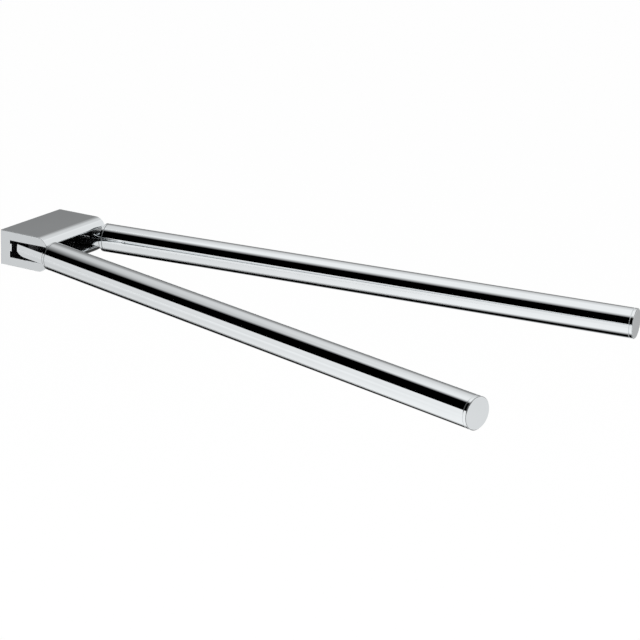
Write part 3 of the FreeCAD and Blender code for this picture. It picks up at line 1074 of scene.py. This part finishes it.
@dataclass
class Pivot:
    """Headed pin and disc spring on which one arm swings."""

    side: Side
    body: str = "bracket"
    pin_radius: float = 4.0 * MM
    head_radius: float = 5.5 * MM
    foot: float = -12.55 * MM
    head_height: float = 3.0 * MM
    top: float = 10.2 * MM
    chamfer: float = 0.6 * MM
    socket: float = 5.0 * MM
    socket_depth: float = 2.2 * MM
    spring_inner: float = 4.2 * MM
    spring_outer: float = 6.55 * MM
    spring_low: float = -7.5 * MM
    spring_thickness: float = 0.8 * MM
    spring_cone: float = 0.5 * MM

    def build_pin(self) -> bpy.types.Object:
        """Turned pin with a hexagon socket in its head.

        Returns:
            The dressed pin.
        """
        place = self.side.pivot()
        finish = Turned(f"{self.side.value}_pin_turned", (0.56, 0.56, 0.57), roughness=0.2, place=place)
        head = self.foot + self.head_height
        outline = Outline().to(0.0, self.foot).to(self.head_radius - self.chamfer, self.foot)
        outline.to(self.head_radius, self.foot + self.chamfer).to(self.head_radius, head)
        outline.to(self.pin_radius, head).to(self.pin_radius, self.top - self.chamfer)
        outline.to(self.pin_radius - self.chamfer, self.top).to(0.0, self.top)
        pin = LATHE.turn(f"{self.side.value}_pin", outline, finish, place, Segments=SMALL)
        socket_top = self.foot + self.socket_depth
        socket = prism("pin_socket", hexagon(self.socket), self.foot - self.chamfer, socket_top)
        socket.data.transform(place)
        combine(pin, [socket], "DIFFERENCE")
        smooth_flats(pin)
        dress(pin, finish)
        return pin

    def build_spring(self) -> bpy.types.Object:
        """Coned spring washer.

        Returns:
            The dressed washer.
        """
        place = self.side.pivot()
        finish = Turned(f"{self.side.value}_spring_blued", (0.13, 0.13, 0.16), roughness=0.3, place=place,
                        ring_depth=2e-6, stain=(0.2, 0.14, 0.08))
        low, cone, thick = self.spring_low, self.spring_cone, self.spring_thickness
        outline = Outline().to(self.spring_inner, low + cone).to(self.spring_outer, low)
        outline.to(self.spring_outer, low + thick).to(self.spring_inner, low + cone + thick)
        return LATHE.turn(f"{self.side.value}_spring", outline, finish, place, Segments=SMALL)

    def build(self) -> None:
        """Make and dress the pivot's pieces."""
        name = self.side.value
        hand_over(self.build_pin(), self.body, Slot.PIN, f"{name}_pivot_pin")
        hand_over(self.build_spring(), self.body, Slot.SPRING, f"{name}_disc_spring")


@dataclass
class Arm:
    """One swinging arm: knuckle, bushes, insert, tube and end cap. Stations run outward from the pivot."""

    side: Side
    radius: float = 10.5 * MM
    bore: float = 9.3 * MM
    half_tongue: float = 4.2 * MM
    heel: float = 17.0 * MM
    tail_flat: float = 2.0 * MM
    tail_cut: float = 6.8 * MM
    tail_rise: float = 3.0 * MM
    shoulder: float = 19.0 * MM
    tube_start: float = 21.3 * MM
    tube_end: float = 420.5 * MM
    tip: float = 423.0 * MM
    seam: float = 0.3 * MM
    cap_bevel: float = 0.5 * MM
    eye_radius: float = 5.08 * MM
    stud_radius: float = 5.0 * MM
    stud_length: float = 16.0 * MM
    stud_pitch: float = 1.5 * MM
    stud_thread: float = 0.7 * MM
    stud_steps: int = 80
    chamfer: float = 0.6 * MM
    fit: float = 0.03 * MM
    overlap: float = 0.1 * MM
    insert_length: float = 20.0 * MM
    insert_steps: int = 100
    insert_segments: int = 240
    knurl_margin: float = 3.0 * MM
    knurl_teeth: int = 60
    knurl_depth: float = 0.25 * MM
    knurl_steps: int = 3
    bush_bore: float = 4.05 * MM
    bush_radius: float = 5.05 * MM
    bush_flange: float = 6.55 * MM
    bush_flange_height: float = 1.9 * MM
    bush_split: float = 0.2 * MM
    spigot_radius: float = 9.1 * MM
    spigot_length: float = 8.0 * MM
    groove_radius: float = 7.24 * MM
    groove_near: float = 2.4 * MM
    groove_far: float = 4.8 * MM
    ring_cord: float = 2.0 * MM
    ring_steps: int = 24
    ring_segments: int = 128
    tube_steps: int = 24
    # How dark the painted shade at the cap's seam is.
    cap_seam_darkness: float = 0.3

    def chrome(self) -> Chrome:
        """The arm's plating, its hairlines running along the arm.

        Returns:
            The finish, with painted shade in dark lines at the seams and on the cap's bevel.
        """
        # Painted shade: dark lines at the collar's two seams, at the cap's seam and on the cap's bevel.
        seams = (
            (self.shoulder, 1.0),
            (self.tube_start - self.seam / 2, 1.0),
            (self.tube_end - self.seam / 2, self.cap_seam_darkness),
            (self.tip - self.cap_bevel / 2, 1.0),
        )
        name, place = f"{self.side.value}_arm_chrome", self.side.place()
        return Chrome(name, CHROME_COLOUR, CHROME_ROUGHNESS, place=place, seams=seams)

    def build_tube(self) -> bpy.types.Object:
        """Tube with a fine chamfer at each end, which shows as a seam.

        Returns:
            The dressed tube.
        """
        edge = self.radius - self.seam
        outline = Outline().to(self.bore, self.tube_start).to(edge, self.tube_start)
        outline.run(self.radius, self.tube_start + self.seam, self.tube_end - self.seam, self.tube_steps)
        outline.to(edge, self.tube_end).to(self.bore, self.tube_end)
        return LATHE.turn(f"{self.side.value}_tube", outline, self.chrome(), self.side.lathe(), Segments=FINE)

    def build_cap(self) -> bpy.types.Object:
        """Disc with a bevelled rim, and the spigot with its ring groove.

        Returns:
            The dressed cap.
        """
        start, rim = self.tube_end, self.radius - self.cap_bevel
        near, far, end = start - self.groove_near, start - self.groove_far, start - self.spigot_length
        outline = Outline().to(0.0, self.tip).to(rim, self.tip).to(self.radius, self.tip - self.cap_bevel)
        outline.to(self.radius, start + self.seam).to(self.radius - self.seam, start)
        outline.to(self.spigot_radius, start).to(self.spigot_radius, near).to(self.groove_radius, near)
        outline.to(self.groove_radius, far).to(self.spigot_radius, far)
        outline.to(self.spigot_radius, end + self.chamfer)
        outline.to(self.spigot_radius - self.chamfer, end).to(0.0, end)
        return LATHE.turn(f"{self.side.value}_cap", outline, self.chrome(), self.side.lathe(), Segments=FINE)

    def build_ring(self) -> bpy.types.Object:
        """Rubber ring in the spigot's groove.

        Returns:
            The dressed ring.
        """
        place = self.side.lathe()
        finish = Moulded(f"{self.side.value}_ring_rubber", (0.02, 0.02, 0.021), roughness=0.55, metallic=0.0,
                         place=place, bloom=(0.07, 0.07, 0.075))
        middle = self.tube_end - (self.groove_near + self.groove_far) / 2
        cord = self.ring_cord / 2
        centre = (self.groove_radius + self.fit + cord, middle)
        last = 360.0 - 360.0 / self.ring_steps
        outline = Outline().arc(centre, cord, 0.0, last, self.ring_steps - 1)
        return LATHE.turn(f"{self.side.value}_ring", outline, finish, place, Segments=self.ring_segments)

    def build_insert(self) -> bpy.types.Object:
        """Brass insert, knurled outside and threaded for the stud.

        Returns:
            The dressed insert.
        """
        place = self.side.lathe()
        finish = Turned(f"{self.side.value}_insert_brass", (0.72, 0.5, 0.2), roughness=0.22, place=place,
                        stain=(0.34, 0.2, 0.08))
        near, far = self.tube_start, self.tube_start + self.insert_length
        outer, inner = self.bore - self.fit, self.stud_radius + self.fit
        outline = Outline().run(inner, far, near, self.insert_steps, thread=1.0)
        outline.to(outer - self.chamfer, near).to(outer, near + self.chamfer)
        first, last = near + self.knurl_margin, far - self.knurl_margin
        outline.run(outer, first, last, self.knurl_steps, knurl=1.0)
        outline.to(outer, far - self.chamfer).to(outer - self.chamfer, far)
        return LATHE.turn(
            f"{self.side.value}_insert",
            outline,
            finish,
            place,
            Segments=self.insert_segments,
            Thread_Pitch=self.stud_pitch,
            Thread_Depth=-self.stud_thread,
            Knurl_Teeth=self.knurl_teeth,
            Knurl_Depth=self.knurl_depth,
        )

    def build_bush(self, name: str, sign: int) -> bpy.types.Object:
        """Flanged nylon bush in one end of the eye.

        Args:
            name: Which bush it is.
            sign: Whether it points up or down.

        Returns:
            The dressed bush.
        """
        place = self.side.place()
        finish = Moulded(f"{self.side.value}_{name}_nylon", (0.03, 0.03, 0.031), roughness=0.45, metallic=0.0,
                         place=place, bloom=(0.07, 0.07, 0.07), bloom_share=0.6)
        flange = self.half_tongue + self.bush_flange_height
        corners = (
            (self.bush_bore, self.bush_split),
            (self.bush_radius, self.bush_split),
            (self.bush_radius, self.half_tongue),
            (self.bush_flange, self.half_tongue),
            (self.bush_flange, flange),
            (self.bush_bore, flange),
        )
        outline = Outline()
        for radius, height in corners:
            outline.to(radius, sign * height)
        return LATHE.turn(f"{self.side.value}_{name}_bushing", outline, finish, place, Segments=SMALL)

    def heel_relief(self) -> bpy.types.Object:
        """Tool that relieves the heel's outer corner below, behind the lower bush.

        Returns:
            The tool, before the arm is swung.
        """
        corner, foot, rise = self.heel - self.tail_cut, -self.half_tongue, self.tail_rise
        lead = (corner - self.bush_flange) * SPARE / rise
        side = [
            (self.bush_flange - lead, foot - SPARE),
            (corner, foot + rise),
            (self.heel + SPARE, foot + rise),
            (self.heel + SPARE, foot - SPARE),
        ]
        tool = prism("heel_relief", side, self.tail_flat, self.radius + SPARE)
        tool.data.transform(Matrix(((0, 0, self.side.outward), (1, 0, 0), (0, 1, 0))).to_4x4())
        face_outwards(tool)
        return tool

    def tongue(self) -> bpy.types.Object:
        """Round bar with two flats: its inner heel is a square stop, its outer one cut off and relieved.

        Returns:
            The tongue, before the arm is swung.
        """
        end = self.shoulder + self.overlap
        back = -self.heel - SPARE
        outline = Outline().to(0.0, back).to(self.radius, back).to(self.radius, end).to(0.0, end)
        bar = LATHE.turn(f"{self.side.value}_tongue", outline, self.chrome(), LYING, Segments=FINE)
        clear = self.radius + SPARE
        plan = [
            (-clear, -end - SPARE),
            (clear, -end - SPARE),
            (clear, self.heel - self.tail_cut),
            (self.radius, self.heel - self.tail_cut),
            (self.tail_flat, self.heel),
            (-clear, self.heel),
        ]
        out = self.side.outward
        slab = prism("tongue_slab", [(out * x, y) for x, y in plan], -self.half_tongue, self.half_tongue)
        combine(bar, [slab], "INTERSECT")
        combine(bar, [self.heel_relief()], "DIFFERENCE")
        face_outwards(bar)
        return bar

    def build_knuckle(self) -> bpy.types.Object:
        """Tongue with the pivot eye, collar and threaded stud.

        Returns:
            The dressed knuckle.
        """
        piece = self.tongue()
        end = self.tube_start + self.stud_length
        outline = Outline().to(0.0, self.shoulder).to(self.radius - self.seam, self.shoulder)
        outline.to(self.radius, self.shoulder + self.seam).to(self.radius, self.tube_start - self.seam)
        outline.to(self.radius - self.seam, self.tube_start).to(self.stud_radius, self.tube_start)
        start = self.tube_start + self.chamfer
        outline.run(self.stud_radius, start, end - self.chamfer, self.stud_steps, thread=1.0)
        outline.to(self.stud_radius - self.chamfer, end).to(0.0, end)
        collar = LATHE.turn("collar", outline, self.chrome(), LYING, Segments=FINE,
                            Thread_Pitch=self.stud_pitch, Thread_Depth=self.stud_thread)
        combine(piece, [collar], "UNION")
        reach = self.radius
        eye = Outline().to(0.0, -reach).to(self.eye_radius, -reach).to(self.eye_radius, reach).to(0.0, reach)
        combine(piece, [LATHE.turn("eye", eye, self.chrome(), Matrix.Identity(4))], "DIFFERENCE")
        piece.data.transform(self.side.place())
        smooth_flats(piece)
        piece.name = f"{self.side.value}_swivel"
        dress(piece, self.chrome())
        return piece

    def build(self) -> None:
        """Make and dress the arm's pieces."""
        name, body = self.side.value, self.side.body
        hand_over(self.build_knuckle(), body, Slot.CHROME, f"{name}_knuckle")
        hand_over(self.build_bush("upper", 1), body, Slot.NYLON, f"{name}_upper_bush")
        hand_over(self.build_bush("lower", -1), body, Slot.NYLON, f"{name}_lower_bush")
        hand_over(self.build_insert(), body, Slot.BRASS, f"{name}_tube_insert")
        hand_over(self.build_tube(), body, Slot.CHROME, f"{name}_arm_tube")
        hand_over(self.build_cap(), body, Slot.CHROME, f"{name}_end_cap")
        hand_over(self.build_ring(), body, Slot.RUBBER, f"{name}_cap_ring")


def levelled(height: float, *spots: Point) -> list[Vector]:
    """Places at one height, given by X and Y."""
    return [Vector((*spot, height)) for spot in spots]


def upright(beside: float, *spots: Point) -> list[Vector]:
    """Places in one upright plane across the wall, given by Y and Z."""
    return [Vector((beside, *spot)) for spot in spots]


def bearings(distance: float, *directions: Point) -> list[Vector]:
    """Places at a distance from the object, given by azimuth from +Y towards -X and elevation, in degrees.

    Args:
        distance: Distance of the places from the origin.
        directions: Azimuth and elevation of each.

    Returns:
        The places.
    """
    places = []
    for direction in directions:
        azimuth, elevation = (math.radians(angle) for angle in direction)
        level = math.cos(elevation)
        ray = Vector((-math.sin(azimuth) * level, math.cos(azimuth) * level, math.sin(elevation)))
        places.append(distance * ray)
    return places


def curved(spots: Iterable[Point]) -> list[Vector]:
    """Places on an upright round screen behind the object.

    Args:
        spots: Azimuth in degrees and height of each place.

    Returns:
        The places.
    """
    middle, radius = Vector((0.0, -0.2, 0.0)), 1.0
    places = []
    for azimuth, height in spots:
        outward = bearings(radius, (azimuth, 0.0))[0]
        places.append(middle + outward + Vector((0.0, 0.0, height)))
    return places


@dataclass(frozen=True)
class Card:
    """Studio card that shows only in reflections: a core that fades out over a fringe.

    Stops are the card's grey levels against the height of a place on it, in metres.
    """

    name: str
    core: Sequence[Vector]
    fringe: Sequence[Vector]
    strength: float = 1.0
    stops: tuple[Point, ...] = ((0.0, 0.0),)
    top: float = 2.0

    def material(self) -> bpy.types.Material:
        """Grey that follows the height, and clear where the card fades out.

        Returns:
            The card's material.
        """
        material = bpy.data.materials.new(self.name)
        material.use_nodes = True
        graph = Graph(material.node_tree)
        place = graph.node("ShaderNodeTexCoord", None, None, "Object")
        height = graph.node("ShaderNodeSeparateXYZ", None, {"Vector": place}, "Z") / self.top
        stops = [(z / self.top, grey) for z, grey in self.stops]
        level = graph.node("ShaderNodeValToRGB", {"stops": stops}, {"Fac": height}, "Color")
        glow = graph.node("ShaderNodeEmission", None, {"Color": level})
        clear = graph.node("ShaderNodeBsdfTransparent")
        cover = graph.node("ShaderNodeAttribute", {"attribute_name": "cover"}, None, "Fac")
        mixed = graph.node("ShaderNodeMixShader", None, {0: cover, 1: clear, 2: glow})
        graph.node("ShaderNodeOutputMaterial", None, {"Surface": mixed})
        return material

    def build(self) -> None:
        """Make the card, a fan for its core and a ring of strips for its fringe."""
        count = len(self.core)
        middle = sum(self.core, Vector()) / count
        faces: list[tuple[int, ...]] = []
        for index in range(count):
            following = (index + 1) % count
            faces.append((0, index + 1, following + 1))
            faces.append((index + 1, count + index + 1, count + following + 1, following + 1))
        mesh = bpy.data.meshes.new(self.name)
        mesh.from_pydata([middle, *self.core, *self.fringe], [], faces)
        covers = [self.strength] * (count + 1) + [0.0] * count
        mesh.attributes.new("cover", "FLOAT", "POINT").data.foreach_set("value", covers)
        mesh.materials.append(self.material())
        card = new_object(self.name, mesh)
        card.visible_camera = False
        card.visible_diffuse = False
        card.visible_shadow = False


@dataclass
class Studio:
    """White studio: world, floor, softboxes, cards and camera."""

    floor_depth: float = 1.5
    floor_size: float = 60.0
    floor_colour: Colour = (0.8, 0.8, 0.8)
    floor_glow: float = 0.19
    lens: float = 116.29
    eye: Triple = (-1.179527, -0.897799, 0.422103)
    azimuth: float = -61.085
    elevation: float = 18.065
    roll: float = 2.298

    @staticmethod
    def seen(graph: Graph) -> Socket:
        """1 for rays from the camera and for those that a shiny or clear surface sends on, else 0."""
        path = graph.node("ShaderNodeLightPath", None, None, "Is Camera Ray")
        return (path + path.out("Is Glossy Ray") + path.out("Is Transmission Ray")).math("MINIMUM", 1.0)

    @staticmethod
    def build_world() -> None:
        """White where it is seen, and a plain soft light on what it falls on."""
        world = bpy.data.worlds.new("studio_world")
        world.use_nodes = True
        graph = Graph(world.node_tree)
        glow = graph.node("ShaderNodeBackground", None, {"Color": (1.0, 1.0, 1.0, 1.0)})
        graph.node("ShaderNodeOutputWorld", None, {"Surface": glow})
        bpy.context.scene.world = world

    def build_floor(self) -> None:
        """Pale floor that keeps the object's shadow."""
        material = bpy.data.materials.new("studio_floor")
        material.use_nodes = True
        graph = Graph(material.node_tree)
        matt = graph.node("ShaderNodeBsdfDiffuse", None, {"Color": (*self.floor_colour, 1.0)})
        glow = graph.node("ShaderNodeEmission", None, {"Strength": self.seen(graph) * self.floor_glow})
        both = graph.node("ShaderNodeAddShader", None, {0: matt, 1: glow})
        graph.node("ShaderNodeOutputMaterial", None, {"Surface": both})
        half = self.floor_size / 2
        mesh = bpy.data.meshes.new("studio_floor")
        mesh.from_pydata(levelled(-self.floor_depth, *window(half, -half, -half, half)), [], [(0, 1, 2, 3)])
        mesh.materials.append(material)
        new_object("studio_floor", mesh)

    @staticmethod
    def build_softbox(name: str, place: Vector, size: float, radiance: float) -> None:
        """Square softbox that faces the object.

        Args:
            name: Name of the lamp.
            place: Its middle.
            size: Length of its sides.
            radiance: How bright it looks, where 1 is the white of the world.
        """
        lamp = bpy.data.lights.new(name, "AREA")
        lamp.shape = "SQUARE"
        lamp.size = size
        lamp.energy = radiance * math.pi * size ** 2
        box = bpy.data.objects.new(name, lamp)
        box.location = place
        box.rotation_euler = place.to_track_quat("Z", "Y").to_euler()
        box.visible_glossy = False
        bpy.context.scene.collection.objects.link(box)

    @staticmethod
    def build_flags() -> None:
        """Far black cards on the wall side and by the camera, each given by directions."""
        core = (
            (-25, 11), (-25, 42), (-8, 46), (8, 48), (20, 51.5), (36, 55), (71, 53.5), (90, 53),
            (100, 30), (90, 3), (66, 14.5), (45, 11.5), (20, 11.5),
        )
        fringe = (
            (-30, 10), (-30, 50), (-10, 56), (4, 62), (18, 68), (36, 72), (71, 71), (97, 66),
            (108, 30), (91, 2), (66, 13), (45, 10.5), (20, 10.5),
        )
        Card("wall_flag", bearings(6.0, *core), bearings(6.0, *fringe)).build()
        core = ((104, 2), (104, 40), (125, 48), (146, 40), (168, 36), (168, 2))
        fringe = ((98, -4), (98, 46), (125, 56), (152, 46), (176, 44), (176, -4))
        Card("camera_flag", bearings(5.0, *core), bearings(5.0, *fringe), 0.9).build()

    @staticmethod
    def build_scrims() -> None:
        """Square-cornered cards, each with its distance, its strength and the directions of its sides."""
        scrims = (
            ("side_scrim", 4.0, 0.06, (55, 95, -60, -4), (46, 104, -70, 2)),
            ("horizon_scrim", 5.0, 0.25, (22, -10, -8, 9), (42, -20, -15, 11)),
            ("end_scrim", 3.5, 0.26, (48, 56, -21, -11), (43, 61, -26, -6)),
            ("seam_flag", 4.5, 0.9, (-14, -34, -16, 5), (-4, -44, -24, 11)),
            ("lip_scrim", 2.6, 0.12, (-108, -138, -24, 40), (-100, -146, -30, 50)),
            ("rear_cap_scrim", 2.5, 0.46, (-105, -112, -20, -13), (-101, -116, -24, -9)),
            ("front_cap_scrim", 2.5, 0.18, (-151, -159, -22, -15), (-147, -163, -26, -11)),
            ("edge_veil", 0.9, 0.25, (-6, 10, 10, 60), (-60, 20, 5, 66)),
        )
        for name, distance, strength, core, fringe in scrims:
            sides = (bearings(distance, *window(*edges)) for edges in (core, fringe))
            Card(name, *sides, strength).build()

    @staticmethod
    def build_graded_card() -> None:
        """Curved card behind the object, lighter towards its top."""
        stops = (
            (0.0, 0.14), (0.15, 0.19), (0.245, 0.275), (0.3, 0.31), (0.42, 0.43), (0.5, 0.47),
            (0.57, 0.66), (0.66, 0.73), (0.85, 0.78), (1.16, 0.87), (1.6, 0.97),
        )
        low, high = -0.05, 1.6
        bottom = (-40, -48, -56, -64, -72, -84)
        top = (-77, -65, -53, -41, -29, -17, -5)
        core = [(azimuth, low) for azimuth in bottom] + [(-84, 0.58)]
        core += [(azimuth, high) for azimuth in top] + [(0, 0.92), (-36, 0.57)]
        fringe = [(azimuth, 2 * low) for azimuth in (6, *bottom[1:-1], -94)] + [(-94, 0.62)]
        fringe += [(azimuth, 1.1 * high) for azimuth in (-92, *top[1:-1], 16)] + [(12, 0.92), (10, 0.57)]
        Card("graded_card", curved(core), curved(fringe), stops=stops).build()

    @staticmethod
    def build_shades() -> None:
        """Near cards below: a strip that draws the arms' undersides, a scrim and the lower lip's shade."""
        core = (
            (0.04, -0.5), (0.18, -0.5), (0.22, 0.3), (0.24, 1.0), (0.12, 1.0), (0.075, 0.3), (0.04, 0.0),
        )
        fringe = (
            (-0.09, -0.7), (0.36, -0.7), (0.38, 0.3), (0.4, 1.3), (0.02, 1.3), (-0.03, 0.3), (-0.09, 0.0),
        )
        Card("low_shade", levelled(-0.3, *core), levelled(-0.3, *fringe)).build()
        core = window(0.0, -0.1, 0.1, 1.2)
        fringe = window(0.1, -0.26, -0.3, 1.3)
        Card("low_scrim", levelled(-0.1, *core), levelled(-0.1, *fringe), 0.27).build()
        core = ((-0.092, -0.032), (-0.024, -0.027), (-0.024, -0.062), (-0.092, -0.056))
        fringe = ((-0.104, -0.027), (-0.012, -0.022), (-0.012, -0.067), (-0.104, -0.061))
        Card("lip_shade", upright(0.055, *core), upright(0.055, *fringe), 0.95).build()

    def build_camera(self) -> None:
        """Camera at the photographed angle."""
        azimuth, elevation = math.radians(self.azimuth), math.radians(self.elevation)
        level = math.cos(elevation)
        back = Vector((math.sin(azimuth) * level, -math.cos(azimuth) * level, math.sin(elevation)))
        right = Vector((0.0, 0.0, 1.0)).cross(back).normalized()
        up = back.cross(right)
        data = bpy.data.cameras.new("studio_camera")
        data.lens = self.lens
        camera = bpy.data.objects.new("studio_camera", data)
        turn = Matrix((right, up, back)).transposed().to_4x4()
        roll = Matrix.Rotation(math.radians(self.roll), 4, "Z")
        camera.matrix_world = Matrix.Translation(self.eye) @ turn @ roll
        bpy.context.scene.collection.objects.link(camera)
        bpy.context.scene.camera = camera

    def build(self) -> None:
        """Set up the whole studio."""
        bpy.context.scene.view_settings.view_transform = "Standard"
        self.build_world()
        self.build_floor()
        self.build_flags()
        self.build_scrims()
        self.build_graded_card()
        self.build_shades()
        self.build_softbox("overhead_softbox", Vector((0.0, -0.2, 2.4)), size=1.6, radiance=0.5)
        self.build_softbox("front_softbox", Vector((-0.4, -2.2, 1.4)), size=1.2, radiance=0.4)
        self.build_camera()
        LOG.info("studio: set up")


def main() -> None:
    """Build every piece, then the studio."""
    logging.basicConfig(level=logging.INFO, format="%(name)s %(message)s")
    Bracket().build()
    for side in Side:
        Pivot(side).build()
        Arm(side).build()
    Studio().build()


if __name__ == "__main__":
    main()
